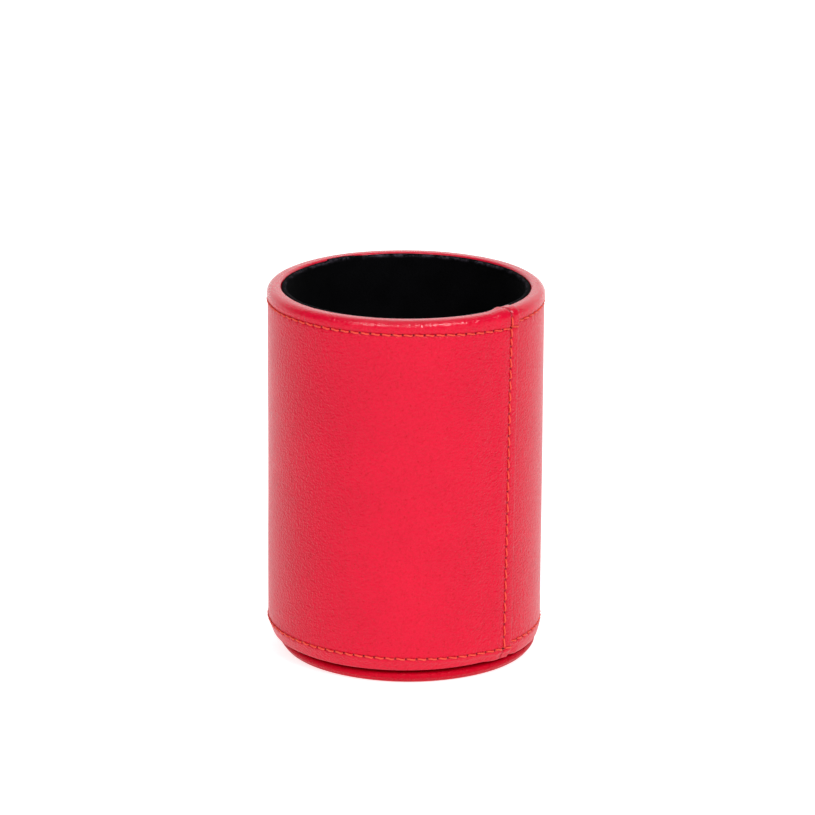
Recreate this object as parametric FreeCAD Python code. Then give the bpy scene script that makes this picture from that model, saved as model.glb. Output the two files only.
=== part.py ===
"""Desk pen cup: a greyboard tube and bottom, covered in stitched red leather and lined with black velvet.

Frame: millimetres, +Z up, origin on the table under the middle of the cup, side seam on +X.
Every piece is one STEP file in parts/. Nothing moves: the cup is glued and sewn together.

How it goes together, from the inside out:
  lining  velvet over a rolled card inside the wall, and over a card disc on the floor
  board   a rigid tube with a round bottom board glued into its lower end
  sleeve  leather on a thin fabric backing, sewn along its top and bottom rows, lapped and sewn down the
          side seam, pulled over the tube, and turned in over the rim and under the foot
  base    a leather covered card disc that hides the turned margin, with a felt pad under it
"""
import FreeCAD
import Part
import math
import os

Vector = FreeCAD.Vector
ORIGIN = Vector(0, 0, 0)
X_AXIS = Vector(1, 0, 0)
Z_AXIS = Vector(0, 0, 1)

# Driving sizes
CUP_DIAMETER = 80.0
CUP_HEIGHT = 109.0
WALL = 4.05              # leather face to leather face at the rim
LEATHER = 0.8
BACKING = 0.7
BOARD = 2.0              # bottom board
GLUE = 0.05              # glue line between layers that curve

# Base disc, from the table up
PAD = 0.6
PAD_RADIUS = 33.0
BASE_LEATHER = 0.7
BASE_CARD = 1.6
BASE_RADIUS = 37.5       # over its leather
BASE_MARGIN_RADIUS = 28.0
BASE_SHIFT = Vector(0.66, 0.61, 0)   # the base is glued on a little off centre

# Sleeve outline
FOOT_RADIUS = 38.6       # the hem draws in to this at its lower edge
FOOT_MARGIN_RADIUS = 31.0
HEM_HEIGHT = 4.7         # from the sleeve's lower edge up to the full diameter
RIM_SWELL = 0.25         # the rim stands this far outside the wall
RIM_SHOULDER = 2.2       # outer rounding of the rim
TURN_IN = 12.0           # leather turned down inside the rim
TOP_ROW_DROP = 4.0       # top row of stitches below the rim
BOTTOM_ROW_RISE = 5.6    # bottom row above the sleeve's lower edge

# Side seam: the sleeve's outer end laps over its inner end
SEAM_LEAN = 1.0          # degrees, the seam's top leaning towards +Y
LAP_RISE = 0.5           # how far the lap stands out at the seam's thread
LAP_CURVE = 20.5         # the lap is curved more than the wall, and runs out into it on the -Y side
LAP_EDGE = 3.25          # from the seam's thread to the lap's free edge

# Thread and stitches
THREAD = 0.5             # thread diameter
THREAD_CLEARANCE = 0.08  # round the thread in its groove
STITCH_PITCH = 3.1
SEAM_PITCH = 3.3
STITCH_SHARE = 0.8       # how much of the pitch a stitch covers
ROW_CLEARANCE = 0.3      # rows start this far from the side seam's thread

# Lining
CARD = 0.5
VELVET = 0.8
LINING_DROP = 0.3        # the lining's upper edge below the rim

# Worked out from the above
WALL_RADIUS = CUP_DIAMETER / 2
LAP_CENTRE = WALL_RADIUS + LAP_RISE - LAP_CURVE
GROOVE = THREAD / 2 + THREAD_CLEARANCE
MOUTH_RADIUS = WALL_RADIUS - WALL
SLEEVE_FOOT = PAD + 2 * BASE_LEATHER + BASE_CARD
HEM_TOP = SLEEVE_FOOT + HEM_HEIGHT
TOP_ROW = CUP_HEIGHT - TOP_ROW_DROP
BOTTOM_ROW = SLEEVE_FOOT + BOTTOM_ROW_RISE
BACKING_RADIUS = WALL_RADIUS - LEATHER - GLUE
BACKING_BORE = BACKING_RADIUS - BACKING
BACKING_FOOT = BOTTOM_ROW - 0.4
BACKING_TOP = TOP_ROW + 1.5
BOBBIN_RADIUS = BACKING_BORE + THREAD / 2 + GLUE / 2
TUBE_RADIUS = BACKING_BORE - GLUE
TUBE_BORE = MOUTH_RADIUS + LEATHER + GLUE
TUBE_FOOT = SLEEVE_FOOT + LEATHER
TUBE_TOP = CUP_HEIGHT - LEATHER
BOARD_TOP = TUBE_FOOT + BOARD
LINING_RADIUS = MOUTH_RADIUS - GLUE
LINING_TOP = CUP_HEIGHT - LINING_DROP
WELL_RADIUS = LINING_RADIUS - CARD - VELVET
FLOOR_RADIUS = WELL_RADIUS - GLUE


def rounded_wire(corners):
    """Closed wire in the XZ plane through (radius, height, rounding) corners, joined by tangent arcs."""
    points = [Vector(corner[0], 0, corner[1]) for corner in corners]
    edges = []
    ends = []
    for i, corner in enumerate(corners):
        here = points[i]
        back = (points[i - 1] - here).normalize()
        ahead = (points[(i + 1) % len(points)] - here).normalize()
        if len(corner) < 3:
            ends.append((here, here))
            continue
        half_turn = (math.pi - back.getAngle(ahead)) / 2
        bisector = (back + ahead).normalize()
        start = here + back * corner[2] * math.tan(half_turn)
        end = here + ahead * corner[2] * math.tan(half_turn)
        middle = here + bisector * corner[2] * (1 / math.cos(half_turn) - 1)
        edges.append(Part.Arc(start, middle, end).toShape())
        ends.append((start, end))
    for i, (_, leave) in enumerate(ends):
        arrive = ends[(i + 1) % len(ends)][0]
        edges.append(Part.makeLine(leave, arrive))
    return Part.Wire(Part.__sortEdges__(edges))


def spun(corners, start=0.0, sweep=360.0):
    """Solid made by turning a closed outline about Z, from a start angle through a sweep in degrees."""
    solid = Part.Face(rounded_wire(corners)).revolve(ORIGIN, Z_AXIS, sweep)
    solid.rotate(ORIGIN, Z_AXIS, start)
    return solid


def disc(radius, bottom, thickness):
    """Round disc standing on the height given as its bottom."""
    return Part.makeCylinder(radius, thickness, Vector(0, 0, bottom))


def ring(outer, inner, bottom, top):
    """Plain tube between two heights."""
    return disc(outer, bottom, top - bottom).cut(disc(inner, bottom, top - bottom))


def leaned(shape):
    """Leans a shape made upright at the seam as the side seam leans, about the cup's middle height."""
    shape.rotate(Vector(0, 0, CUP_HEIGHT / 2), X_AXIS, -SEAM_LEAN)
    return shape


def sleeve_outline(grow, rim_grow):
    """Corners of the sleeve's outer face, from its foot over the rim, moved out on the wall and the rim."""
    wall = WALL_RADIUS + grow
    return [
        (FOOT_RADIUS + grow, SLEEVE_FOOT, 1.2 + grow / 2),
        (wall, HEM_TOP, 2.5),
        (wall, TOP_ROW, 4.0),
        (wall + RIM_SWELL, TOP_ROW + 1.2, 4.0),
        (wall + RIM_SWELL, CUP_HEIGHT + rim_grow, RIM_SHOULDER + grow / 2),
    ]


def lap_strip():
    """The sleeve's outer end where it lies over the inner end, grooved for its share of the thread."""
    outside = sleeve_outline(LAP_RISE, LAP_RISE / 2)
    foot = [(WALL_RADIUS - LEATHER, HEM_TOP), (FOOT_RADIUS - LEATHER, SLEEVE_FOOT)]
    rim = [(MOUTH_RADIUS + 1.2, CUP_HEIGHT), (WALL_RADIUS - LEATHER, CUP_HEIGHT - LEATHER)]
    corners = foot[1:] + outside + rim + foot[:1]
    strip = spun([(corner[0] - LAP_CENTRE, *corner[1:]) for corner in corners], -30, 50)
    for row in (TOP_ROW, BOTTOM_ROW):
        strip = strip.cut(groove_ring(LAP_CURVE, row))
    strip.translate(Vector(LAP_CENTRE, 0, 0))
    beyond = Part.makeBox(CUP_DIAMETER, CUP_DIAMETER, 2 * CUP_HEIGHT, Vector(0, LAP_EDGE, -CUP_HEIGHT / 2))
    seam = Part.makeCylinder(GROOVE, TOP_ROW - BOTTOM_ROW, Vector(WALL_RADIUS + LAP_RISE, 0, BOTTOM_ROW))
    return leaned(strip.cut(beyond).cut(seam)).cut(disc(CUP_DIAMETER, SLEEVE_FOOT - 5, 5))


def groove_ring(radius, height):
    """Cutter for the groove that a level row of stitches lies in."""
    return Part.makeTorus(radius, GROOVE, Vector(0, 0, height))


def sleeve_point(distance, height):
    """Point on the sleeve's outer face, at a distance round from the seam's thread at that height."""
    lean = (height - CUP_HEIGHT / 2) * math.tan(math.radians(SEAM_LEAN))
    on_lap = math.hypot(LAP_CENTRE + math.sqrt(max(0, LAP_CURVE ** 2 - distance ** 2)), distance)
    covered = abs(distance) < LAP_CURVE and distance < LAP_EDGE
    radius = max(WALL_RADIUS, on_lap) if covered else WALL_RADIUS
    angle = (distance + lean) / WALL_RADIUS
    return Vector(radius * math.cos(angle), radius * math.sin(angle), height)


def row_spans(height):
    """End points of each stitch of a level row, evenly spaced right round from the seam and back to it."""
    length = math.pi * CUP_DIAMETER - 2 * ROW_CLEARANCE
    count = round(length / STITCH_PITCH)
    pitch = length / count
    half = pitch * STITCH_SHARE / 2 - THREAD / 2
    spans = []
    for i in range(count):
        middle = ROW_CLEARANCE + (i + 0.5) * pitch
        if i > count / 2:
            middle -= length + 2 * ROW_CLEARANCE
        spans.append((sleeve_point(middle - half, height), sleeve_point(middle + half, height)))
    return spans


def seam_spans():
    """End points of each stitch down the side seam, between the two rows."""
    length = TOP_ROW - BOTTOM_ROW
    count = round(length / SEAM_PITCH)
    pitch = length / count
    half = pitch * STITCH_SHARE / 2 - THREAD / 2
    middles = [BOTTOM_ROW + (i + 0.5) * pitch for i in range(count)]
    return [(sleeve_point(0, middle - half), sleeve_point(0, middle + half)) for middle in middles]


def stitches(spans):
    """One round-ended stitch for each pair of end points."""
    radius = THREAD / 2
    bars = []
    for start, end in spans:
        bar = Part.makeCylinder(radius, (end - start).Length, start, end - start)
        bars.append(bar.fuse([Part.makeSphere(radius, start), Part.makeSphere(radius, end)]))
    return Part.makeCompound(bars)


def body_leather():
    """The leather of the sleeve: turned over the rim and under the foot, lapped, and grooved for the rows."""
    outside = sleeve_outline(0, 0)
    inside = sleeve_outline(-LEATHER, -LEATHER)
    foot_inside = [(inside[0][0], SLEEVE_FOOT + LEATHER, 0.2)]
    mouth = [
        (MOUTH_RADIUS, CUP_HEIGHT, 0.9),
        (MOUTH_RADIUS, CUP_HEIGHT - TURN_IN),
        (MOUTH_RADIUS + LEATHER, CUP_HEIGHT - TURN_IN),
        (MOUTH_RADIUS + LEATHER, CUP_HEIGHT - LEATHER, 0.1),
    ]
    margin = [(FOOT_MARGIN_RADIUS, SLEEVE_FOOT + LEATHER), (FOOT_MARGIN_RADIUS, SLEEVE_FOOT)]
    sheet = spun(outside + mouth + inside[:0:-1] + foot_inside + margin)
    for row in (TOP_ROW, BOTTOM_ROW):
        sheet = sheet.cut(groove_ring(WALL_RADIUS, row))
    return sheet.fuse(lap_strip())


def sleeve_backing():
    """Fabric backing inside the leather between its hems, grooved where the lower threads lie."""
    half = THREAD / 2 + GLUE
    groove = BOBBIN_RADIUS + half
    shell = ring(BACKING_RADIUS, BACKING_BORE, BACKING_FOOT, BACKING_TOP)
    for row in (BOTTOM_ROW, TOP_ROW):
        shell = shell.cut(disc(groove, row - half, 2 * half))
    bar = Part.makeBox(groove, 2 * half, 2 * CUP_HEIGHT, Vector(0, -half, -CUP_HEIGHT / 2))
    return shell.cut(leaned(bar))


def core_tube():
    """Rigid wound greyboard tube, rounded at the rim and bevelled at its foot, where the hem draws in."""
    return spun([
        (TUBE_BORE, TUBE_FOOT),
        (FOOT_RADIUS - LEATHER - 0.15, TUBE_FOOT),
        (TUBE_RADIUS, HEM_TOP - 1.2, 2.0),
        (TUBE_RADIUS, TUBE_TOP, 1.0),
        (TUBE_BORE, TUBE_TOP, 0.4),
    ])


def bobbin_ring(height):
    """Lower thread of a row, on the sleeve's inner side."""
    return Part.makeTorus(BOBBIN_RADIUS, THREAD / 2, Vector(0, 0, height))


def seam_bobbin():
    """Lower thread of the side seam, ending clear of the two rows."""
    end = THREAD / 2 + 0.35
    foot = Vector(BOBBIN_RADIUS, 0, BOTTOM_ROW + end)
    return leaned(Part.makeCylinder(THREAD / 2, TOP_ROW - BOTTOM_ROW - 2 * end, foot))


def lining_velvet():
    """Velvet glued to the lining card and drawn over its upper edge."""
    card_top = LINING_TOP - VELVET
    return spun([
        (WELL_RADIUS, BOARD_TOP),
        (LINING_RADIUS - CARD, BOARD_TOP),
        (LINING_RADIUS - CARD, card_top),
        (LINING_RADIUS, card_top),
        (LINING_RADIUS, LINING_TOP, 0.3),
        (WELL_RADIUS, LINING_TOP, 0.6),
    ])


def floor_velvet():
    """Velvet over the floor card, drawn down round its edge."""
    return spun([
        (0, BOARD_TOP + CARD),
        (FLOOR_RADIUS - VELVET, BOARD_TOP + CARD),
        (FLOOR_RADIUS - VELVET, BOARD_TOP),
        (FLOOR_RADIUS, BOARD_TOP),
        (FLOOR_RADIUS, BOARD_TOP + CARD + VELVET, 0.5),
        (0, BOARD_TOP + CARD + VELVET),
    ])


def base_card_outline():
    """Corners of the base's card, lower face first, with its cut edges softened."""
    edge = BASE_RADIUS - BASE_LEATHER
    bottom = PAD + BASE_LEATHER
    return [(edge, bottom, 0.7), (edge, bottom + BASE_CARD, 0.3)]


def base_card():
    """Card disc inside the base."""
    lower, upper = base_card_outline()
    return spun([(0, lower[1]), lower, upper, (0, upper[1])])


def base_leather():
    """Leather drawn over the base's card from below, with a margin folded onto its upper face."""
    lower, upper = base_card_outline()
    return spun([
        (0, PAD),
        (BASE_RADIUS, PAD, 1.4),
        (BASE_RADIUS, SLEEVE_FOOT, 1.0),
        (BASE_MARGIN_RADIUS, SLEEVE_FOOT),
        (BASE_MARGIN_RADIUS, upper[1]),
        upper,
        lower,
        (0, lower[1]),
    ])


def main():
    """Builds every piece and writes its STEP file."""
    pieces = {
        "core_tube": core_tube(),
        "bottom_board": disc(TUBE_BORE - GLUE, TUBE_FOOT, BOARD),
        "sleeve_backing": sleeve_backing(),
        "body_leather": body_leather(),
        "top_stitching": stitches(row_spans(TOP_ROW)),
        "bottom_stitching": stitches(row_spans(BOTTOM_ROW)),
        "seam_stitching": stitches(seam_spans()),
        "top_bobbin_thread": bobbin_ring(TOP_ROW),
        "bottom_bobbin_thread": bobbin_ring(BOTTOM_ROW),
        "seam_bobbin_thread": seam_bobbin(),
        "lining_card": ring(LINING_RADIUS, LINING_RADIUS - CARD, BOARD_TOP, LINING_TOP - VELVET),
        "lining_velvet": lining_velvet(),
        "floor_card": disc(FLOOR_RADIUS - VELVET - GLUE, BOARD_TOP, CARD),
        "floor_velvet": floor_velvet(),
        "base_card": base_card(),
        "base_leather": base_leather(),
        "base_pad": disc(PAD_RADIUS, 0, PAD),
    }
    os.makedirs("parts", exist_ok=True)
    for name, shape in pieces.items():
        if name.startswith("base_"):
            shape.translate(BASE_SHIFT)
        shape.exportStep(f"parts/{name}.step")


main()
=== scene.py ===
"""Looks of a desk pen cup: stitched red leather over board, black velvet inside, on a leather-covered base.

Everything is in the row frame. Sizes inside the classes are in millimetres, and meshes are made in metres.
Distances round the cup are measured on the wall from the side seam's thread, which stands on +X, and grow
towards +Y.
"""
import logging
import math
from dataclasses import dataclass
from enum import Enum
from typing import Callable, Sequence

import bpy
import numpy as np
from mathutils import Matrix, Vector

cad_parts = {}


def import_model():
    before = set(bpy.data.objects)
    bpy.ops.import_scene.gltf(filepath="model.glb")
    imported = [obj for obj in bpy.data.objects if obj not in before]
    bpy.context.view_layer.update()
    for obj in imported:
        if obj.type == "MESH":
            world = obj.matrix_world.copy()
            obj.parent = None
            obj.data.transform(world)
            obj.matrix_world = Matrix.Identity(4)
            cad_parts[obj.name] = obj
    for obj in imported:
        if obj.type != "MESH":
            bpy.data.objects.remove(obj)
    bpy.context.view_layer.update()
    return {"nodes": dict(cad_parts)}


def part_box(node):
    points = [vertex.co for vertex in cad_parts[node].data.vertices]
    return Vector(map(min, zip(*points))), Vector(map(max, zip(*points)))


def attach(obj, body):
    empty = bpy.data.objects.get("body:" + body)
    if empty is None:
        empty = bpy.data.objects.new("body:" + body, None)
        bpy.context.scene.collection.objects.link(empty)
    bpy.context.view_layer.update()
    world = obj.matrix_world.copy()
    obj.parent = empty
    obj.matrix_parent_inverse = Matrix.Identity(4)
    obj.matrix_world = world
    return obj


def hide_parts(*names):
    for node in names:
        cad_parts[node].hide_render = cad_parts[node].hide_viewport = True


MM = 0.001
LOG = logging.getLogger("pen_cup")


# ---------------------------------------------------------------- shared helpers


def smooth(value: np.ndarray, low: float, high: float) -> np.ndarray:
    """Smooth step from 0 at low to 1 at high.

    Args:
        value: where to measure it.
        low: start of the step.
        high: end of the step, which may be below low.

    Returns:
        The step's height at each value.
    """
    t = np.clip((np.asarray(value, float) - low) / (high - low), 0.0, 1.0)
    return t * t * (3 - 2 * t)


def bell(value: np.ndarray, width: float) -> np.ndarray:
    """Bell curve of height 1 about 0, falling to 0.37 at width."""
    return np.exp(-((np.asarray(value, float) / width) ** 2))


def filleted(corners: Sequence[tuple[float, ...]], step: float = 0.12) -> np.ndarray:
    """Open outline through (radius, height, rounding) corners, with arcs sampled finely.

    Args:
        corners: the outline's corners in order; the rounding may be left out.
        step: spacing of the samples on the arcs, in mm.

    Returns:
        The outline's points as (radius, height) rows.
    """
    points = [np.array(corner[:2], float) for corner in corners]
    line = [points[0]]
    for before, here, after, corner in zip(points, points[1:], points[2:], corners[1:]):
        rounding = corner[2] if len(corner) > 2 else 0.0
        back = (before - here) / np.linalg.norm(before - here)
        ahead = (after - here) / np.linalg.norm(after - here)
        half = (math.pi - math.acos(float(np.clip(back @ ahead, -1, 1)))) / 2
        if rounding == 0 or half < 1e-4:
            line.append(here)
            continue
        centre = here + (back + ahead) / np.linalg.norm(back + ahead) * rounding / math.cos(half)
        start = here + back * rounding * math.tan(half) - centre
        end = here + ahead * rounding * math.tan(half) - centre
        count = max(3, math.ceil(2 * half * rounding / step))
        for i in range(count + 1):
            mix = i / count
            turn = math.sin((1 - mix) * 2 * half) * start + math.sin(mix * 2 * half) * end
            line.append(centre + turn / math.sin(2 * half))
    line.append(points[-1])
    return np.array(line)


def resampled(line: np.ndarray, spacing: Callable[[float, float], float]) -> np.ndarray:
    """Walks along an outline with a spacing that depends on the place.

    Args:
        line: the outline's points.
        spacing: gives the distance in mm to the next point, from the radius and height of this one.

    Returns:
        The new points, from the outline's first to its last.
    """
    along = np.concatenate([[0.0], np.cumsum(np.linalg.norm(np.diff(line, axis=0), axis=1))])
    stations = [0.0]
    while stations[-1] < along[-1]:
        here = [np.interp(stations[-1], along, line[:, k]) for k in (0, 1)]
        stations.append(stations[-1] + spacing(*here))
    stations[-1] = along[-1]
    return np.stack([np.interp(stations, along, line[:, k]) for k in (0, 1)], axis=1)


def outward(line: np.ndarray) -> np.ndarray:
    """Unit normals of an outline that runs up the outside and down the inside."""
    tangent = np.gradient(line, axis=0)
    tangent /= np.linalg.norm(tangent, axis=1)[:, None] + 1e-12
    return np.stack([tangent[:, 1], -tangent[:, 0]], axis=1)


def grid_faces(columns: int, rows: int, close_rows: bool) -> list[list[int]]:
    """Quads of a grid that is closed round its columns.

    Args:
        columns: number of columns, which are the first index of the vertices.
        rows: number of rows.
        close_rows: whether the last row joins the first.

    Returns:
        Four vertex numbers per face.
    """
    i, j = np.meshgrid(np.arange(columns), np.arange(rows if close_rows else rows - 1), indexing="ij")
    right, up = (i + 1) % columns, (j + 1) % rows
    corners = (i * rows + j, right * rows + j, right * rows + up, i * rows + up)
    return np.stack([corner.ravel() for corner in corners], axis=1).tolist()


def into_scene(name: str, data: bpy.types.ID) -> bpy.types.Object:
    """Makes an object that shows this data, linked to the scene."""
    made = bpy.data.objects.new(name, data)
    bpy.context.scene.collection.objects.link(made)
    return made


def mesh_piece(name: str, points: np.ndarray, faces: Sequence[Sequence[int]]) -> bpy.types.Object:
    """Makes a smooth-shaded mesh piece.

    Args:
        name: the piece's name.
        points: vertices in mm.
        faces: vertex numbers of each face.

    Returns:
        The new object, linked to the scene.
    """
    mesh = bpy.data.meshes.new(name)
    mesh.from_pydata((points * MM).tolist(), [], faces)
    mesh.polygons.foreach_set("use_smooth", np.ones(len(mesh.polygons), bool))
    mesh.validate()
    mesh.update()
    return into_scene(name, mesh)


def add_attribute(piece: bpy.types.Object, name: str, values: np.ndarray) -> None:
    """Stores one number per vertex, for the piece's finish to read."""
    layer = piece.data.attributes.new(name, "FLOAT", "POINT")
    layer.data.foreach_set("value", np.asarray(values, np.float32).ravel())


def settle(piece: bpy.types.Object, nodes: Sequence[str]) -> bpy.types.Object:
    """Puts a finished piece into the frame, in place of CAD nodes.

    Args:
        piece: the piece.
        nodes: the CAD nodes that it stands for.

    Returns:
        The piece.
    """
    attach(piece, "root")
    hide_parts(*nodes)
    LOG.info("%s: %d vertices, stands for %s", piece.name, len(piece.data.vertices), ", ".join(nodes))
    return piece


# ---------------------------------------------------------------- finishes


def linear(colour: str) -> tuple[float, float, float, float]:
    """Turns an sRGB hex colour into the linear one that shaders take."""
    parts = [int(colour[i:i + 2], 16) / 255 for i in (1, 3, 5)]
    channels = [c / 12.92 if c <= 0.04045 else ((c + 0.055) / 1.055) ** 2.4 for c in parts]
    return (channels[0], channels[1], channels[2], 1.0)


def plug(tree: bpy.types.NodeTree, socket: bpy.types.NodeSocket, value: object) -> None:
    """Links another node's output to an input, or gives the input a value of its own."""
    if isinstance(value, bpy.types.NodeSocket):
        tree.links.new(value, socket)
    else:
        socket.default_value = value


def node(tree: bpy.types.NodeTree, kind: str, settings: dict | None = None,
         **inputs: object) -> bpy.types.Node:
    """Adds a node with its settings, values and links.

    Args:
        tree: the material's node tree.
        kind: the node's type.
        settings: the node's own properties.
        **inputs: a value or another node's output for each input, with spaces in its name as underscores.

    Returns:
        The new node.
    """
    made = tree.nodes.new(kind)
    for key, value in (settings or {}).items():
        setattr(made, key, value)
    for key, value in inputs.items():
        wanted = key.replace("_", " ")
        plug(tree, next(s for s in made.inputs if wanted in (s.name, s.identifier) and s.enabled), value)
    return made


def arithmetic(tree: bpy.types.NodeTree, operation: str, *operands: object) -> bpy.types.NodeSocket:
    """Adds a maths node.

    Args:
        tree: the material's node tree.
        operation: the node's operation.
        *operands: a value or another node's output for each input in turn.

    Returns:
        The output with the result.
    """
    made = node(tree, "ShaderNodeMath", {"operation": operation})
    for socket, value in zip(made.inputs, operands):
        plug(tree, socket, value)
    return made.outputs[0]


def noise(tree: bpy.types.NodeTree, place: bpy.types.NodeSocket, size: float,
          **inputs: float) -> bpy.types.NodeSocket:
    """Adds a noise pattern whose patches are size mm across."""
    return node(tree, "ShaderNodeTexNoise", Vector=place, Scale=per_metre(size), **inputs).outputs[0]


def ramp(tree: bpy.types.NodeTree, value: bpy.types.NodeSocket, low: float, high: float,
         **outputs: float) -> bpy.types.NodeSocket:
    """Adds a ramp from 0 at low to 1 at high, or between the To_Min and To_Max given."""
    return node(tree, "ShaderNodeMapRange", Value=value, From_Min=low, From_Max=high, **outputs).outputs[0]


def blend(tree: bpy.types.NodeTree, share: bpy.types.NodeSocket, first: object,
          second: object) -> bpy.types.NodeSocket:
    """Adds a mix of two colours: the first where share is 0, the second where it is 1."""
    return node(tree, "ShaderNodeMixRGB", Fac=share, Color1=first, Color2=second).outputs[0]


def painted(tree: bpy.types.NodeTree, attribute: str) -> bpy.types.NodeSocket:
    """Adds a node that reads one of the mesh's attributes."""
    return node(tree, "ShaderNodeAttribute", {"attribute_name": attribute}).outputs["Fac"]


def bump(tree: bpy.types.NodeTree, strength: object, depth: float,
         height: bpy.types.NodeSocket) -> bpy.types.NodeSocket:
    """Adds a relief of this strength and depth in metres, and gives the normals that show it."""
    return node(tree, "ShaderNodeBump", Strength=strength, Distance=depth, Height=height).outputs[0]


def shade(tree: bpy.types.NodeTree, **inputs: object) -> None:
    """Ends a material's tree with a principled shader that has these inputs."""
    shader = node(tree, "ShaderNodeBsdfPrincipled", **inputs)
    node(tree, "ShaderNodeOutputMaterial", Surface=shader.outputs[0])


def blank_material(name: str) -> tuple[bpy.types.Material, bpy.types.NodeTree]:
    """Makes a material with an empty node tree."""
    material = bpy.data.materials.new(name)
    material.use_nodes = True
    material.node_tree.nodes.clear()
    return material, material.node_tree


def per_metre(size: float) -> float:
    """Pattern scale that gives cells of a size in mm."""
    return 1 / (size * MM)


@dataclass(frozen=True)
class Finish:
    """The look of a surface, as one material."""

    name: str

    def lay(self, tree: bpy.types.NodeTree, place: bpy.types.NodeSocket) -> None:
        """Lays down the material's nodes.

        Args:
            tree: the material's empty node tree.
            place: gives the patterns their place on the object, in metres.
        """
        raise NotImplementedError

    def build(self) -> bpy.types.Material:
        """Makes the material."""
        material, tree = blank_material(self.name)
        self.lay(tree, node(tree, "ShaderNodeTexCoord").outputs["Object"])
        return material


@dataclass(frozen=True)
class CorrectedGrainLeather(Finish):
    """Corrected-grain cowhide, drum-dyed, sprayed and pressed: even colour, pressed pores, satin gloss."""

    face: str = "#C9052C"
    pore: str = "#BE0424"
    hole_and_crease_shade: str = "#640414"
    specular_level: float = 0.2
    pore_size: float = 0.6
    wrinkle_size: float = 0.9
    cloud_size: float = 16.0
    gloss_roughness: float = 0.31

    def lay(self, tree: bpy.types.NodeTree, place: bpy.types.NodeSocket) -> None:
        """Lays down nodes that paint shade into the needle holes and creases by a mesh attribute, and are
        smoother by "burnished".
        """
        # Pressed pores: small cells with soft rims, which break the gloss into fine specks
        warp = node(tree, "ShaderNodeTexNoise", Vector=place, Scale=per_metre(2.2), Detail=2.0)
        bent = node(tree, "ShaderNodeMixRGB", {"blend_type": "LINEAR_LIGHT"}, Fac=0.0006,
                    Color1=place, Color2=warp.outputs["Color"])
        pores = node(tree, "ShaderNodeTexVoronoi", {"feature": "SMOOTH_F1"}, Vector=bent.outputs["Color"],
                     Scale=per_metre(self.pore_size), Smoothness=0.6, Randomness=1.0)
        wrinkles = noise(tree, place, self.wrinkle_size, Detail=4.0, Roughness=0.62)
        clouds = noise(tree, place, self.cloud_size, Detail=2.0)
        depth = arithmetic(tree, "MULTIPLY_ADD", wrinkles, 0.55, pores.outputs["Distance"])
        # Dye sits a little deeper in the pores, and thins where the hide was stretched
        face = blend(tree, ramp(tree, wrinkles, 0.3, 0.52), linear(self.pore), linear(self.face))
        cloud = ramp(tree, clouds, 0.3, 0.7, To_Min=0.97, To_Max=1.03)
        clouded = node(tree, "ShaderNodeVectorMath", {"operation": "SCALE"}, Vector=face, Scale=cloud)
        # Painted shade: the needle holes and creases darken to a deep red
        coloured = blend(tree, painted(tree, "sewn_shade"), clouded.outputs[0], linear(self.hole_and_crease_shade))
        gloss = ramp(tree, wrinkles, 0.3, 0.7, To_Min=self.gloss_roughness - 0.04,
                     To_Max=self.gloss_roughness + 0.06)
        # Hands and the maker's bone folder polish the rim, so the light on it is sharper
        burnished = painted(tree, "burnished")
        polish = arithmetic(tree, "MULTIPLY_ADD", burnished, -0.13, gloss)
        flatter = ramp(tree, burnished, 0.0, 1.0, To_Min=0.7, To_Max=0.4)
        shade(tree, Base_Color=coloured, Roughness=polish, Normal=bump(tree, flatter, 0.0003, depth),
              IOR=1.5, Specular_IOR_Level=self.specular_level)


@dataclass(frozen=True)
class PaintedLeatherEdge(Finish):
    """Cut edge of the same leather, painted over: a darker, smoother, slightly rounded line."""

    colour: str = "#8E1020"

    def lay(self, tree: bpy.types.NodeTree, place: bpy.types.NodeSocket) -> None:
        """Lays down the material's nodes."""
        fibres = noise(tree, place, 0.35, Detail=3.0)
        tone = ramp(tree, fibres, 0.0, 1.0, To_Min=0.7, To_Max=1.25)
        colour = node(tree, "ShaderNodeVectorMath", {"operation": "SCALE"}, Vector=linear(self.colour)[:3],
                      Scale=tone)
        shade(tree, Base_Color=colour.outputs[0], Roughness=0.5, Normal=bump(tree, 0.4, 0.0001, fibres))


@dataclass(frozen=True)
class TwistedPolyesterThread(Finish):
    """Three-ply twisted polyester sewing thread: fine bright filaments with a soft silky sheen."""

    colour: str = "#F5523E"
    # The darker colour gives the filaments their random tone, and is also the painted shade between the plies
    dark: str = "#A8200F"
    filament: float = 0.06

    def lay(self, tree: bpy.types.NodeTree, place: bpy.types.NodeSocket) -> None:
        """Lays down the material's nodes."""
        filaments = noise(tree, place, self.filament * 3, Detail=3.0)
        colour = blend(tree, ramp(tree, filaments, 0.25, 0.55), linear(self.dark), linear(self.colour))
        # Painted shade: the grooves between the plies darken
        groove_shaded = blend(tree, painted(tree, "ply_groove_shade"), colour, linear(self.dark))
        shade(tree, Base_Color=groove_shaded, Roughness=0.5, Normal=bump(tree, 0.5, 0.00006, filaments),
              Specular_IOR_Level=0.3, Sheen_Weight=0.08, Sheen_Roughness=0.4)


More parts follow.
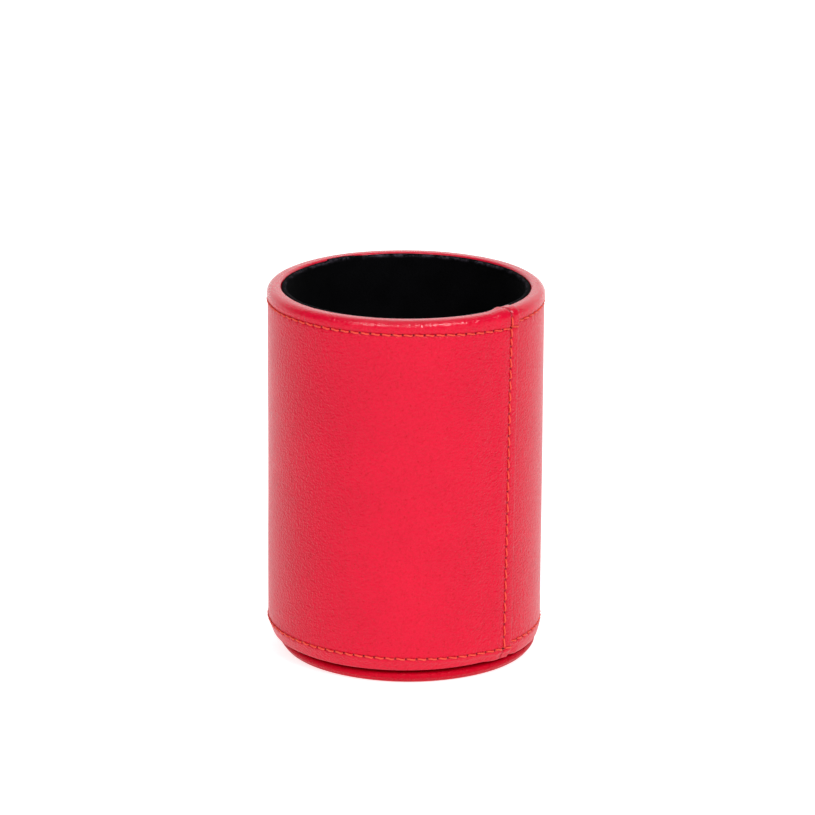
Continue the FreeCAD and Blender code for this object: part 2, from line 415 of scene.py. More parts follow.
@dataclass(frozen=True)
class CottonVelvet(Finish):
    """Short-pile cotton velvet, dyed black: hardly any light comes back, but off the pile's tips."""

    pile: str = "#020203"
    tip: str = "#08080A"
    # Colour of the painted highlight on the top roll
    roll_highlight: str = "#47404A"
    tuft: float = 0.35
    lie_size: float = 9.0
    patch_size: float = 2.6

    def lay(self, tree: bpy.types.NodeTree, place: bpy.types.NodeSocket) -> None:
        """Lays down the material's nodes."""
        tufts = noise(tree, place, self.tuft, Detail=3.0, Roughness=0.7)
        tone = arithmetic(tree, "MULTIPLY", tufts, noise(tree, place, self.lie_size, Detail=2.0))
        pile = blend(tree, ramp(tree, tone, 0.12, 0.45), linear(self.pile), linear(self.tip))
        # Painted highlight: where the cloth bends round the edge, greyer patches stand for the light off its
        # fanned-out pile
        patches = ramp(tree, noise(tree, place, self.patch_size, Detail=4.0, Roughness=0.75), 0.46, 0.66)
        amount = arithmetic(tree, "MULTIPLY", painted(tree, "painted_roll_highlight"), patches)
        shade(tree, Base_Color=blend(tree, amount, pile, linear(self.roll_highlight)), Roughness=1.0,
              Normal=bump(tree, 0.8, 0.0003, tufts), Specular_IOR_Level=0.05, Sheen_Weight=0.016,
              Sheen_Roughness=0.3, Sheen_Tint=(0.55, 0.58, 0.62, 1.0))


@dataclass(frozen=True)
class PressedBoard(Finish):
    """Pressed paper board, calendered flat: dull, with pale and dark fibres and faint pressing marks."""

    colour: str
    fleck: str
    fibre: float = 0.5

    def lay(self, tree: bpy.types.NodeTree, place: bpy.types.NodeSocket) -> None:
        """Lays down the material's nodes."""
        fibres = noise(tree, place, self.fibre, Detail=5.0, Roughness=0.7)
        colour = blend(tree, ramp(tree, fibres, 0.55, 0.68), linear(self.colour), linear(self.fleck))
        shade(tree, Base_Color=colour, Roughness=0.9, Normal=bump(tree, 0.3, 0.0001, fibres),
              Specular_IOR_Level=0.3)


@dataclass(frozen=True)
class PressedFelt(Finish):
    """Needled and pressed felt: matt, with short fibres lying every way."""

    colour: str = "#17171A"
    fibre_colour: str = "#2C2C30"
    fibre: float = 0.4

    def lay(self, tree: bpy.types.NodeTree, place: bpy.types.NodeSocket) -> None:
        """Lays down the material's nodes."""
        tangle = noise(tree, place, self.fibre, Detail=6.0, Roughness=0.75, Distortion=1.2)
        colour = blend(tree, ramp(tree, tangle, 0.4, 0.66), linear(self.colour), linear(self.fibre_colour))
        shade(tree, Base_Color=colour, Roughness=0.95, Normal=bump(tree, 0.7, 0.00025, tangle),
              Sheen_Weight=0.2, Sheen_Roughness=0.5)


@dataclass(frozen=True)
class PlainWovenCotton(Finish):
    """Plain woven cotton backing, undyed: crossed threads, matt."""

    colour: str = "#B9B09C"
    gap: str = "#7D7564"
    thread_spacing: float = 0.5

    def lay(self, tree: bpy.types.NodeTree, place: bpy.types.NodeSocket) -> None:
        """Lays down the material's nodes."""
        scale = per_metre(self.thread_spacing) / 6.283  # one wave of the pattern is about 2 pi long
        weft = node(tree, "ShaderNodeTexWave", {"bands_direction": "Z"}, Vector=place, Scale=scale)
        warp = node(tree, "ShaderNodeTexWave", {"bands_direction": "DIAGONAL"}, Vector=place, Scale=scale)
        height = arithmetic(tree, "MAXIMUM", weft.outputs[1], warp.outputs[1])
        colour = blend(tree, height, linear(self.gap), linear(self.colour))
        shade(tree, Base_Color=colour, Roughness=0.9, Normal=bump(tree, 0.5, 0.0001, height))


# ---------------------------------------------------------------- the cup


class Row(Enum):
    """The three rows of lockstitch, by the CAD node of each."""

    TOP = "top_stitching"
    BOTTOM = "bottom_stitching"
    SEAM = "seam_stitching"


@dataclass
class LeatherSleeve:
    """The leather of the wall: rim and hem turned in, its outer end lapped over the inner one at the seam."""

    finish: Finish
    rim_finish: Finish
    edge_finish: Finish
    height: float
    foot: float
    wall_radius: float = 40.0
    wall_thickness: float = 4.05
    leather: float = 0.8
    foot_radius: float = 38.7
    margin_radius: float = 31.0
    turn_in: float = 12.0
    swell: float = 0.25
    top_row_drop: float = 4.0
    bottom_row_rise: float = 5.3
    foot_flare: float = 0.55
    lean: float = 1.0
    seam_offset: float = -0.3
    lap_rise: float = 0.5
    lap_start: float = -7.5
    lap_edge: float = 3.25
    pitch: float = 3.1
    seam_pitch: float = 3.3
    row_gap: float = 0.3
    thread: float = 0.52
    row_groove: float = 0.24
    seam_groove: float = 0.22
    row_hole: float = 0.3
    seam_hole: float = 0.34
    crease_depth: float = 0.4
    mouth_bulge: float = 0.34
    polished_depth: float = 1.75

    def __post_init__(self) -> None:
        """Works out the rows and the outline."""
        self.top_row = self.height - self.top_row_drop
        self.bottom_row = self.foot + self.bottom_row_rise
        self.round = 2 * math.pi * self.wall_radius
        self.row_count = round((self.round - 2 * self.row_gap) / self.pitch)
        self.row_pitch = (self.round - 2 * self.row_gap) / self.row_count
        self.seam_count = round((self.top_row - self.bottom_row) / self.seam_pitch)
        self.seam_step = (self.top_row - self.bottom_row) / self.seam_count
        mouth = self.wall_radius - self.wall_thickness
        self.outline = filleted([
            (self.margin_radius, self.foot),
            (self.foot_radius - 3.4, self.foot + 0.05, 2.0),
            (self.foot_radius, self.foot + 1.15, 0.8),
            (self.wall_radius, self.foot + 4.7, 2.5),
            (self.wall_radius, self.top_row, 4.0),
            (self.wall_radius + self.swell, self.top_row + 1.2, 4.0),
            (self.wall_radius + self.swell, self.height, 2.1),
            (mouth, self.height, 0.9),
            (mouth, self.height - self.turn_in),
        ])

    def row_drop(self, distance: np.ndarray) -> np.ndarray:
        """How far the top row runs below its usual height, on its way to the seam and at the lap."""
        back = np.where(distance > self.lap_edge, distance - self.round, distance)
        return 1.05 * smooth(back, -32.0, -2.0) + 0.12 * np.sin(back / 23.0 + 0.8)

    def lowered(self, distance: np.ndarray, height: np.ndarray) -> np.ndarray:
        """Height of a point of the outline once the rows' wandering is counted."""
        near = smooth(height, self.top_row - 8, self.top_row - 0.8)
        near = near * smooth(height, self.top_row + 2.2, self.top_row + 0.9)
        back = np.where(distance > self.lap_edge, distance - self.round, distance)
        sag = 0.85 * smooth(back, -58.0, -4.0) + 0.3 * smooth(back, -3.0, 1.0) + 0.08 * np.sin(back / 19.0)
        low = smooth(height, self.foot + 2.2, self.bottom_row - 0.8)
        low = low * smooth(height, self.bottom_row + 9.0, self.bottom_row + 0.8)
        return height - self.row_drop(distance) * near - sag * low

    def lap(self, distance: np.ndarray) -> np.ndarray:
        """How far the lap stands out over the wall."""
        rise = self.lap_rise * smooth(distance, self.lap_start, -1.8)
        rise = rise + 0.06 * smooth(distance, 0.6, self.lap_edge - 0.8)
        rise = rise - 0.14 * smooth(distance, self.lap_edge - 0.5, self.lap_edge)
        return np.where(distance < self.lap_edge + 1e-6, rise, 0.0)

    def uneven(self, distance: np.ndarray, height: np.ndarray) -> np.ndarray:
        """Slight waves of hand-pulled leather."""
        turn = distance / self.wall_radius
        waves = 0.05 * np.sin(2 * turn + 1.1 + height / 60) + 0.03 * np.sin(5 * turn + height / 17)
        return waves + 0.018 * np.sin(9 * turn - height / 9 + 0.7)

    def from_hole(self, distance: np.ndarray) -> np.ndarray:
        """Distance along a row to its nearest needle hole, for distances from the seam either way."""
        first = np.where(distance < 0, -self.row_gap, self.row_gap)
        return (distance - first + self.row_pitch / 2) % self.row_pitch - self.row_pitch / 2

    def turned(self, distance: np.ndarray, height: np.ndarray, radius: np.ndarray) -> np.ndarray:
        """Places points round the cup, leaning as the seam leans.

        Args:
            distance: distance round the wall from the seam's thread.
            height: height above the table.
            radius: distance from the axis.

        Returns:
            The points as (x, y, z) in mm.
        """
        shift = self.seam_offset + (height - self.height / 2) * math.tan(math.radians(self.lean))
        angle = (distance + shift) / self.wall_radius
        return np.stack([radius * np.cos(angle), radius * np.sin(angle), height], axis=-1)

    def surface(self, distance: np.ndarray, height: np.ndarray, lift: np.ndarray) -> np.ndarray:
        """Points over the wall's face, for the thread to lie on.

        Args:
            distance: distance from the seam's thread, negative behind it.
            height: height on the outline, before the rows' wandering.
            lift: how far the points stand over the face.

        Returns:
            The points as (x, y, z) in mm.
        """
        wall = self.outline[(self.outline[:, 0] > 38.0) & (self.outline[:, 1] < self.height - 1)]
        wall = wall[np.argsort(wall[:, 1])]
        radius = np.interp(height, wall[:, 1], wall[:, 0])
        radius = radius + self.lap(distance) + self.uneven(distance, height) + lift
        return self.turned(distance, self.lowered(distance, height), radius)

    def columns(self) -> tuple[np.ndarray, np.ndarray, np.ndarray]:
        """Distances round the cup of the mesh's columns.

        Returns:
            The outer face's distances, which turn back under the lap's edge, the inner face's, and what
            share of the lap's height each column of the outer face is let down at the lap's edge.
        """
        step = self.row_pitch / 10
        start = self.row_gap + self.row_pitch
        plain = np.arange(start + 0.3, self.round + self.lap_start - 0.1, step)
        lapped = np.linspace(self.lap_start, self.lap_edge - 0.3, 54) + self.round
        edge = self.round + self.lap_edge
        drop = np.array([0.0, 0.03, 0.12, 0.3, 0.42, 0.46, 0.44, 0.40]) / 0.46
        reach = np.array([-0.18, -0.07, 0.0, 0.02, -0.04, -0.2, -0.22, 0.0])
        after = np.array([self.lap_edge + 0.12, self.lap_edge + 0.25])
        outer = np.concatenate([after, plain, lapped, edge + reach])
        inner = np.concatenate([after, plain, lapped, edge + np.linspace(-0.18, 0.05, 8)])
        let_down = np.concatenate([np.zeros(len(after) + len(plain) + len(lapped)), drop])
        return outer, inner, let_down

    def spacing(self, radius: float, height: float) -> float:
        """Distance in mm between the mesh's rows at a place on the outline."""
        if radius < self.wall_radius - self.wall_thickness + 0.01 and height < self.height - 2:
            return 1.0
        if radius < self.foot_radius - 1 and height < self.foot + 1:
            return 1.0
        if min(abs(height - self.top_row), abs(height - self.bottom_row)) < 0.9:
            return 0.13
        if height > self.top_row or height < self.bottom_row:
            return 0.24
        return 0.5

    def relief(self, distance: np.ndarray, line: np.ndarray) -> tuple[np.ndarray, np.ndarray]:
        """Everything that stands out from or sinks into the plain outer face.

        Args:
            distance: each column's distance from the seam's thread, negative behind it.
            line: the outline's points.

        Returns:
            The displacement along the normal in mm, and how much painted shade each point gets in the needle
            holes and creases.
        """
        d, radius, height = distance[:, None], line[None, :, 0], line[None, :, 1]
        inside = (radius < self.wall_radius - self.wall_thickness + 0.3) & (height < self.height - 0.5)
        on_lap = smooth(height, self.foot + 0.1, self.foot + 1.0)
        on_lap = on_lap * (1 - 0.35 * smooth(radius, self.wall_radius - 0.5, self.wall_radius - 3.2))
        on_lap = on_lap * np.where(inside, smooth(height, self.height - 7, self.height - 1), 1.0)
        out = self.lap(d) * on_lap + self.uneven(d, height) * on_lap
        # Right of the lap the single layer of the hem stands out a little more
        single = smooth(d, self.lap_edge, self.lap_edge + 4.0) * smooth(d, 75.0, 45.0)
        out = out + self.foot_flare * single * smooth(height, self.foot + 6.5, self.foot + 1.2) * on_lap
        dark = np.zeros(np.broadcast(d, height).shape)
        over_edge = (d > self.lap_edge) & (d < self.lap_edge + 0.3)
        # Each row sinks into a groove with a needle hole at every stitch, and the holes get painted shade,
        # except just past the lap's edge
        for row in (self.top_row, self.bottom_row):
            off = np.where(inside, 99.0, height - row)
            along = self.from_hole(d)
            out = out - self.row_groove * bell(off, 0.46) - self.row_hole * bell(off, 0.3) * bell(along, 0.3)
            out = out + 0.035 * bell(off, 1.5) * np.cos(2 * math.pi * along / self.row_pitch + math.pi)
            dark = np.maximum(dark, 1.3 * bell(off, 0.3) * bell(along, 0.36) * np.where(over_edge, 0, 1))
        # The seam's groove and needle holes over its stitched span, the holes with painted shade
        off = (height - self.bottom_row + self.seam_step / 2) % self.seam_step - self.seam_step / 2
        sewn_shade = (height > self.bottom_row - 0.5) & (height < self.height - 1.2) & ~inside
        groove = bell(d, 0.5) * sewn_shade
        hole = bell(d, 0.3) * bell(off, 0.36) * sewn_shade
        out = out - self.seam_groove * groove - self.seam_hole * hole
        dark = np.maximum(dark, 1.3 * hole)
        # Below the bottom row the lap is only folded, and the fold shows as a crease down to the hem's edge,
        # with painted shade in the crease
        fold = bell(d + 0.35, 0.32) * smooth(height, self.bottom_row - 0.3, self.bottom_row - 1.2)
        fold = fold * on_lap * (radius > self.foot_radius - 2.5)
        out = out - 0.25 * fold
        dark = np.maximum(dark, 0.5 * fold)
        # The lap's corner folds over the rim: a crease in line with the seam, with painted shade in it, and a
        # bulge at the mouth
        over = smooth(height, self.height - 3.5, self.height - 1.2) * np.where(inside, 0.0, 1.0)
        crease = over * bell(d + 0.2 * np.maximum(self.wall_radius - radius, 0), 0.4)
        out = out - self.crease_depth * crease
        dark = np.maximum(dark, 0.6 * crease)
        mouth = bell(radius - (self.wall_radius - self.wall_thickness), 1.4) * smooth(
            height, self.height - 1.6, self.height - 0.3)
        out = out + self.mouth_bulge * mouth * bell(d + 1.9, 1.5)
        return out, np.clip(dark, 0, 1)

    def build(self) -> bpy.types.Object:
        """Builds and dresses the sleeve's leather.

        Returns:
            The piece.
        """
        line = resampled(self.outline, self.spacing)
        normals = outward(line)
        mouth = self.wall_radius - self.wall_thickness
        # The leather's other face, from the end of its turned-in margin at the mouth to that under the foot
        inside = np.array([
            (mouth + self.leather, self.height - self.turn_in),
            (mouth + self.leather, self.height - self.leather - 0.1),
            (self.wall_radius + self.swell - 2.2, self.height - self.leather),
            (self.wall_radius + self.swell - self.leather, self.height - 2.4),
            (self.wall_radius - self.leather, self.top_row),
            (self.wall_radius - self.leather, self.foot + 4.9),
            (self.foot_radius - self.leather - 0.1, self.foot + self.leather),
            (self.margin_radius, self.foot + self.leather),
        ])
        outer, inner, let_down = self.columns()
        behind = np.where(outer > self.round / 2, outer - self.round, outer)
        out, dark = self.relief(behind, line)
        on_wall = smooth(line[:, 1], self.foot + 0.1, self.foot + 1.0) * (line[:, 0] > mouth + 0.6)
        out = out - let_down[:, None] * on_wall[None, :] * self.lap(np.array([self.lap_edge]))[0]
        radius = line[None, :, 0] + normals[None, :, 0] * out
        height = self.lowered(behind[:, None], line[None, :, 1]) + normals[None, :, 1] * out
        face = self.turned(np.broadcast_to(outer[:, None], radius.shape), height, radius)
        spread = np.broadcast_to(inner[:, None], (len(inner), len(inside)))
        hidden = self.turned(spread, np.broadcast_to(inside[:, 1], spread.shape),
                             np.broadcast_to(inside[:, 0], spread.shape))
        points = np.concatenate([face, hidden], axis=1)
        rows = points.shape[1]
        piece = mesh_piece("sleeve_leather", points.reshape(-1, 3), grid_faces(len(outer), rows, True))
        # Painted shade of the needle holes and creases, for the finish to read
        add_attribute(piece, "sewn_shade", np.concatenate([dark, np.zeros((len(outer), len(inside)))], axis=1))
        rim = smooth(line[:, 1], self.top_row + 0.9, self.top_row + 2.2)
        rim = np.concatenate([rim, np.zeros(len(inside))])
        add_attribute(piece, "burnished", np.broadcast_to(rim, (len(outer), rows)))
        for finish in (self.finish, self.edge_finish, self.rim_finish):
            piece.data.materials.append(finish.build())
        dressing = np.zeros((len(outer), rows), int)
        dressing[:, :len(line)][:, line[:, 1] > self.height - self.polished_depth] = 2
        dressing[len(outer) - 7:len(outer) - 2, :] = 1
        piece.data.polygons.foreach_set("material_index", dressing.ravel()[:len(piece.data.polygons)])
        return settle(piece, ["body_leather"])


@dataclass
class ThreadRow:
    """One row of lockstitch: twisted thread that dives into a needle hole at each end of every stitch."""

    sleeve: LeatherSleeve
    row: Row
    finish: TwistedPolyesterThread
    rings: int = 19
    sides: int = 12
    plies: int = 3
    twist: float = 1.3
    slant: float = 0.13
    depth: float = 0.5
    arch: float = 0.55
    hole_share: float = 0.12

    def spans(self) -> list[tuple[tuple[float, float], tuple[float, float]]]:
        """Start and end of each stitch, as distance from the seam and height on the outline."""
        cup = self.sleeve
        if self.row is Row.SEAM:
            heights = [cup.bottom_row + i * cup.seam_step for i in range(cup.seam_count + 1)]
            heights.append(cup.top_row + 2.3)
            return [((0.0, low), (0.0, high)) for low, high in zip(heights, heights[1:])]
        height = cup.top_row if self.row is Row.TOP else cup.bottom_row
        spans = []
        for i in range(cup.row_count):
            start = cup.row_gap + i * cup.row_pitch
            if start > cup.round / 2:
                start -= cup.round
            spans.append(((start, height), (start + cup.row_pitch, height)))
        return spans

    def stitch(self, start: tuple[float, float], end: tuple[float, float],
               turn: float) -> tuple[np.ndarray, np.ndarray]:
        """Makes the rings of one stitch.

        Args:
            start: distance and height of the hole it comes out of.
            end: distance and height of the hole it goes into.
            turn: where the plies' twist stands at its start, in radians.

        Returns:
            The ring points in mm, and how deep in a groove between plies each one is.
        """
        t = np.linspace(0, 1, self.rings)
        eased = 0.5 - 0.5 * np.cos(math.pi * t) * (0.35 + 0.65 * np.abs(np.cos(math.pi * t)) ** 0.2)
        lift = self.arch * (1 - np.abs(2 * t - 1) ** 3.2) - self.depth
        across = -self.slant * np.sin(2 * math.pi * (t - 0.5))
        along = self.hole_share + (1 - 2 * self.hole_share) * eased
        d = start[0] + (end[0] - start[0]) * along
        z = start[1] + (end[1] - start[1]) * along
        if self.row is Row.SEAM:
            d = d + across
        else:
            z = z + across
        line = self.sleeve.surface(d, z, lift)
        tangent = np.gradient(line, axis=0)
        tangent /= np.linalg.norm(tangent, axis=1)[:, None]
        out = np.stack([line[:, 0], line[:, 1], np.zeros(self.rings)], axis=1)
        out -= (out * tangent).sum(1)[:, None] * tangent
        out /= np.linalg.norm(out, axis=1)[:, None]
        side = np.cross(tangent, out)
        angle = np.linspace(0, 2 * math.pi, self.sides, endpoint=False)
        phase = self.plies * (angle[None, :] - self.twist * 2 * math.pi * t[:, None]) + turn
        lobes = 0.5 + 0.5 * np.cos(phase)
        radius = self.sleeve.thread / 2 * (0.84 + 0.16 * lobes)
        radius *= (0.55 + 0.45 * np.minimum(1, 5 * np.minimum(t, 1 - t)))[:, None]
        ring = np.cos(angle)[None, :, None] * out[:, None, :]
        ring = ring + np.sin(angle)[None, :, None] * side[:, None, :]
        return line[:, None, :] + ring * radius[:, :, None], 1 - lobes

    def build(self) -> bpy.types.Object:
        """Builds and dresses the row.

        Returns:
            The piece.
        """
        points, grooves, faces = [], [], []
        size = self.rings * self.sides
        j, i = np.meshgrid(np.arange(self.rings - 1), np.arange(self.sides), indexing="ij")
        after = (i + 1) % self.sides
        quads = np.stack([(j * self.sides + i).ravel(), (j * self.sides + after).ravel(),
                          ((j + 1) * self.sides + after).ravel(), ((j + 1) * self.sides + i).ravel()], axis=1)
        for count, (start, end) in enumerate(self.spans()):
            ring, groove = self.stitch(start, end, 2.4 * count)
            base = len(points) * size
            points.append(ring.reshape(-1, 3))
            grooves.append(groove.ravel())
            faces.extend((quads + base).tolist())
            faces.append([base + k for k in range(self.sides)][::-1])
            faces.append([base + size - self.sides + k for k in range(self.sides)])
        piece = mesh_piece(f"{self.row.value}_thread", np.concatenate(points), faces)
        # Painted shade between the plies, halfway to the darker colour at the deepest, for the finish to read
        add_attribute(piece, "ply_groove_shade", np.concatenate(grooves) * 0.5)
        piece.data.materials.append(self.finish.build())
        return settle(piece, [self.row.value])


@dataclass
class VelvetLining:
    """Velvet inside the wall, drawn over its card's upper edge, its ends overlapping in one place."""

    finish: CottonVelvet
    top: float
    bottom: float
    outer_radius: float = 35.9
    card: float = 0.5
    velvet: float = 0.8
    overlap_angle: float = 173.3
    overlap_rise: float = 0.3
    overlap_drop: float = -0.4
    seed: int = 7

    def build(self) -> bpy.types.Object:
        """Builds and dresses the lining.

        Returns:
            The piece.
        """
        well = self.outer_radius - self.card - self.velvet
        line = resampled(filleted([
            (self.outer_radius - self.card + 0.02, self.bottom),
            (self.outer_radius - self.card + 0.02, self.top - self.velvet),
            (self.outer_radius, self.top - self.velvet),
            (self.outer_radius, self.top, 0.35),
            (well, self.top, 0.75),
            (well, self.bottom),
        ], 0.1), lambda radius, height: 0.14 if height > self.top - 1.4 else 2.2)
        normals = outward(line)
        angle = np.sort(np.concatenate([np.linspace(0, 360, 900, endpoint=False), [
            self.overlap_angle - 0.02, self.overlap_angle + 0.15]]))
        under = smooth(angle, self.overlap_angle - 24, self.overlap_angle - 9) * (angle < self.overlap_angle)
        inner = (line[:, 0] < well + 0.6)[None, :]
        high = smooth(line[:, 1], self.top - 3, self.top - 0.6)[None, :]
        rng = np.random.default_rng(self.seed)
        pile = rng.normal(0, 0.045, (len(angle), len(line)))
        pile = pile * smooth(line[:, 1], self.top - 2.5, self.top - 0.6)[None, :]
        waves = 0.12 * np.sin(np.radians(3 * angle + 40)) + 0.07 * np.sin(np.radians(11 * angle))
        out = pile * inner + self.overlap_rise * under[:, None] * inner + 0.35 * waves[:, None] * inner
        radius = line[None, :, 0] + normals[None, :, 0] * out
        height = line[None, :, 1] + normals[None, :, 1] * out
        height = height - self.overlap_drop * under[:, None] * high + 0.5 * waves[:, None] * high
        turn = np.radians(angle)[:, None]
        points = np.stack([radius * np.cos(turn), radius * np.sin(turn), height], axis=-1)
        piece = mesh_piece("wall_velvet", points.reshape(-1, 3), grid_faces(len(angle), len(line), True))
        # Painted highlight along the inside of the top roll, for the finish to read
        roll_highlight = bell(line[:, 0] - well - 0.15, 0.35) * smooth(line[:, 1], self.top - 1.2, self.top - 0.2)
        add_attribute(piece, "painted_roll_highlight", np.broadcast_to(roll_highlight[None, :], radius.shape))
        piece.data.materials.append(self.finish.build())
        return settle(piece, ["lining_velvet"])


@dataclass
class RoundCover:
    """A soft covering of a round disc, made by turning an outline, with slight waves in it."""

    name: str
    node_name: str
    slot: str
    outline: list[tuple[float, ...]]
    finish: Finish
    centre: tuple[float, float] = (0.0, 0.0)
    fine: float = 0.3
    waves: float = 0.05
    fuzz: float = 0.0
    seed: int = 3

    def build(self) -> bpy.types.Object:
        """Builds and dresses the covering.

        Returns:
            The piece.
        """
        edge = max(corner[0] for corner in self.outline)
        line = resampled(filleted(self.outline, 0.12),
                         lambda radius, height: self.fine if radius > edge - 3 else 2.0)
        normals = outward(line)
        columns = 480
        turn = np.linspace(0, 2 * math.pi, columns, endpoint=False)[:, None]
        radius, height = line[None, :, 0], line[None, :, 1]
        rng = np.random.default_rng(self.seed)
        out = self.waves * (np.sin(3 * turn + radius / 9) + 0.6 * np.sin(7 * turn + 2 - radius / 5))
        out = out * smooth(radius, 0.0, 12.0) + rng.normal(0, 1, (columns, len(line))) * self.fuzz
        reach = radius + normals[None, :, 0] * out
        points = np.stack([self.centre[0] + reach * np.cos(turn), self.centre[1] + reach * np.sin(turn),
                           np.maximum(height + normals[None, :, 1] * out, line[:, 1].min())], axis=-1)
        piece = mesh_piece(self.name, points.reshape(-1, 3), grid_faces(columns, len(line), False))
        weld = piece.modifiers.new("centre", "WELD")
        weld.merge_threshold = 0.00001
        piece.data.materials.append(self.finish.build())
        return settle(piece, [self.node_name])


@dataclass
class HiddenLayers:
    """The boards, cards, backing and lower threads under the covers, which keep their CAD shapes."""

    greyboard: PressedBoard
    lining_card: PressedBoard
    backing: PlainWovenCotton
    thread: TwistedPolyesterThread

    def dress(self, nodes: dict[str, bpy.types.Object]) -> None:
        """Gives each hidden node its finish.

        Args:
            nodes: the CAD nodes by name.
        """
        layers = {
            self.greyboard: ("core_tube", "bottom_board", "base_card"),
            self.lining_card: ("lining_card", "floor_card"),
            self.backing: ("sleeve_backing",),
            self.thread: ("top_bobbin_thread", "bottom_bobbin_thread", "seam_bobbin_thread"),
        }
        for finish, names in layers.items():
            material = finish.build()
            for name in names:
                mesh_slots = nodes[name].material_slots
                if not mesh_slots:
                    nodes[name].data.materials.append(material)
                for mesh_slot in mesh_slots:
                    mesh_slot.material = material
                LOG.info("%s: CAD shape kept, dressed as %s", name, finish.name)


# ---------------------------------------------------------------- the studio


@dataclass
class Studio:
    """Pale floor, white surroundings, soft lights and the camera."""

    azimuth: float = 42.9
    elevation: float = 17.813
    distance: float = 1355.5
    looked_from: float = 47.66
    aim: tuple[float, float, float] = (-4.244, 5.486, 69.807)
    roll: float = 0.323
    lens: float = 204.82
    floor_colour: str = "#D6D6D6"
    room_glow: float = 0.08
    backdrop_glow: float = 1.6
    floor_glow: float = 0.68
    lights: tuple[tuple[str, float, float, float, float], ...] = (
        ("right_light", 36, 38, 26, 2.05),
        ("left_light", -32, 36, 22, 1.0),
        ("front_light", 0, 22, 50, 0.45),
        ("top_light", 0, 88, 60, 0.5),
    )

    def around(self, azimuth: float, elevation: float, distance: float, height: float) -> Vector:
        """Point in metres at a distance from the cup's axis in a direction counted from the camera's."""
        a, e = math.radians(self.azimuth + azimuth), math.radians(elevation)
        back = Vector((math.sin(a) * math.cos(e), -math.cos(a) * math.cos(e), math.sin(e)))
        return (Vector((0, 0, height)) + back * distance) * MM

    def camera(self) -> bpy.types.Object:
        """Sets the camera at its place, level but for its slight roll.

        Returns:
            The camera.
        """
        data = bpy.data.cameras.new("camera")
        data.lens = self.lens
        data.sensor_width = 36.0
        data.clip_start = 0.05
        data.clip_end = 50
        camera = into_scene("camera", data)
        place = self.around(0, self.elevation, self.distance, self.looked_from)
        look = (Vector(self.aim) * MM - place).to_track_quat("-Z", "Y").to_matrix().to_4x4()
        camera.matrix_world = Matrix.Translation(place) @ look @ Matrix.Rotation(
            math.radians(self.roll), 4, "Z")
        bpy.context.scene.camera = camera
        return camera

    def soft_light(self, name: str, azimuth: float, elevation: float, spread: float, strength: float) -> None:
        """Adds a broad, far light, which is even over the cup and the floor.

        Args:
            name: the light's name.
            azimuth: its direction from the camera's, in degrees, to the right.
            elevation: its height angle in degrees.
            spread: the angle in degrees that it fills, seen from the cup.
            strength: what it gives a surface that faces it, in watts per square metre.
        """
        data = bpy.data.lights.new(name, "SUN")
        data.angle = math.radians(spread)
        data.energy = strength
        lamp = into_scene(name, data)
        lamp.location = self.around(azimuth, elevation, 900, 55)
        aim = Vector((0, 0, 55 * MM)) - lamp.location
        lamp.rotation_euler = aim.to_track_quat("-Z", "Y").to_euler()

    def surround(self) -> None:
        """Surrounds the cup with a dim room on the camera's side, and a bright backdrop behind."""
        world = bpy.data.worlds.new("surroundings")
        world.use_nodes = True
        tree = world.node_tree
        tree.nodes.clear()
        behind = (self.around(180, 0, 1000, 0)).normalized()
        facing = node(tree, "ShaderNodeVectorMath", {"operation": "DOT_PRODUCT"},
                      Vector=node(tree, "ShaderNodeTexCoord").outputs["Generated"])
        facing.inputs[1].default_value = behind
        glow = node(tree, "ShaderNodeMapRange", {"interpolation_type": "SMOOTHSTEP"},
                    Value=facing.outputs["Value"], From_Min=0.42, From_Max=0.58, To_Min=self.room_glow,
                    To_Max=self.backdrop_glow)
        light = node(tree, "ShaderNodeBackground", Strength=glow.outputs[0])
        node(tree, "ShaderNodeOutputWorld", Surface=light.outputs[0])
        bpy.context.scene.world = world

    def build(self) -> None:
        """Builds the floor, the surroundings, the lights and the camera."""
        mesh = bpy.data.meshes.new("floor")
        half = 6.0
        mesh.from_pydata([(-half, -half, 0), (half, -half, 0), (half, half, 0), (-half, half, 0)], [],
                         [(0, 1, 2, 3)])
        floor = into_scene("floor", mesh)
        material, tree = blank_material("painted_floor")
        shade(tree, Base_Color=linear(self.floor_colour), Roughness=0.7,
              Emission_Color=(1.0, 1.0, 1.0, 1.0), Emission_Strength=self.floor_glow)
        mesh.materials.append(material)
        self.surround()
        for light in self.lights:
            self.soft_light(*light)
        bpy.context.scene.view_settings.view_transform = "Standard"
        self.camera()
        LOG.info("studio: floor, surroundings, four soft lights and camera")


def build_well_floor(velvet: Finish) -> None:
    """Builds the velvet on the floor of the well."""
    low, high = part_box("floor_velvet")
    radius, foot, top = high.x / MM, low.z / MM, high.z / MM
    RoundCover("floor_velvet_cover", "floor_velvet", "black_velvet", [
        (radius - 0.8, foot), (radius, foot), (radius, top, 0.6), (0.0, top)],
        velvet, waves=0.04, fuzz=0.02).build()


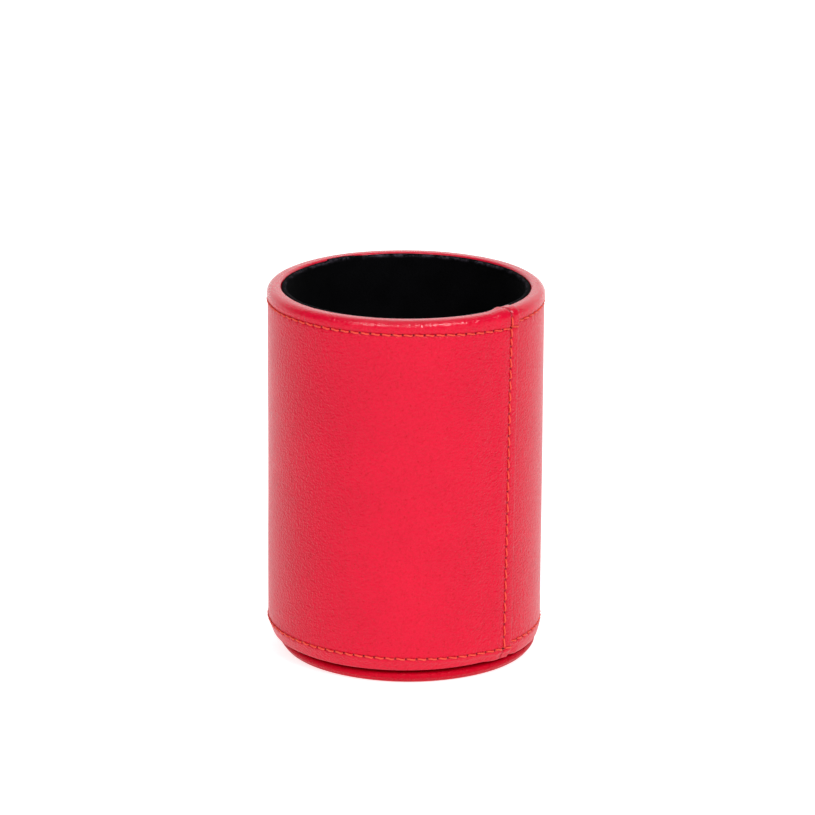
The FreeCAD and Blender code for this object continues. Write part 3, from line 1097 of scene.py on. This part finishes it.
def build_base() -> None:
    """Builds the base's leather, which is widest near its top and bulges down round the pad, and the pad."""
    low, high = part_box("base_leather")
    centre = ((low.x + high.x) / 2 / MM, (low.y + high.y) / 2 / MM)
    radius, foot, top = (high.x - low.x) / 2 / MM, low.z / MM, high.z / MM
    bulge, margin, under_margin = 0.25, 28.0, top - 0.65
    # The base's leather is the sleeve's leather with a darker red face and pores, painted shade for the
    # shadow of the hem above it and of the floor round it, and with less gloss
    leather = CorrectedGrainLeather("corrected_grain_leather_shaded_base", face="#B60321", pore="#AA021B",
                                    specular_level=0.05)
    RoundCover("base_leather_cover", "base_leather", "red_leather", [
        (0.0, foot), (33.6, foot), (34.1, bulge, 0.2), (radius - 1.3, bulge, 1.4),
        (radius + 0.8, top - 0.55, 0.9), (33.9, top, 0.8), (margin, top), (margin, under_margin),
        (radius - 0.65, under_margin)], leather, centre, waves=0.03).build()
    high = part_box("base_pad")[1]
    radius, top = high.x / MM - centre[0], high.z / MM
    RoundCover("base_felt_pad", "base_pad", "black_felt", [
        (0.0, 0.0), (radius, 0.0, 0.15), (radius, top, 0.15), (0.0, top)],
        PressedFelt("pressed_felt_black"), centre, waves=0.03, fuzz=0.012).build()


def main() -> None:
    """Builds the cup's visible pieces over the frame, dresses what stays, and sets up the studio."""
    logging.basicConfig(level=logging.INFO, format="%(name)s %(message)s")
    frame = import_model()
    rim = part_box("core_tube")[1].z / MM + 0.8
    thread = TwistedPolyesterThread("twisted_polyester_thread_orange")
    velvet = CottonVelvet("cotton_velvet_black")
    sleeve = LeatherSleeve(CorrectedGrainLeather("corrected_grain_leather_red"),
                           CorrectedGrainLeather("corrected_grain_leather_rim", specular_level=0.48),
                           PaintedLeatherEdge("painted_leather_edge"), rim,
                           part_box("body_leather")[0].z / MM)
    sleeve.build()
    for row in Row:
        ThreadRow(sleeve, row, thread).build()
    low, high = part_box("lining_velvet")
    VelvetLining(velvet, high.z / MM, low.z / MM).build()
    build_well_floor(velvet)
    build_base()
    HiddenLayers(
        PressedBoard("greyboard", "#8C877C", "#B5AFA2"),
        PressedBoard("dyed_lining_card", "#2A2A2C", "#4A4A4C"),
        PlainWovenCotton("plain_cotton_backing"),
        TwistedPolyesterThread("twisted_polyester_bobbin_thread"),
    ).dress(frame["nodes"])
    Studio().build()


if __name__ == "__main__":
    main()
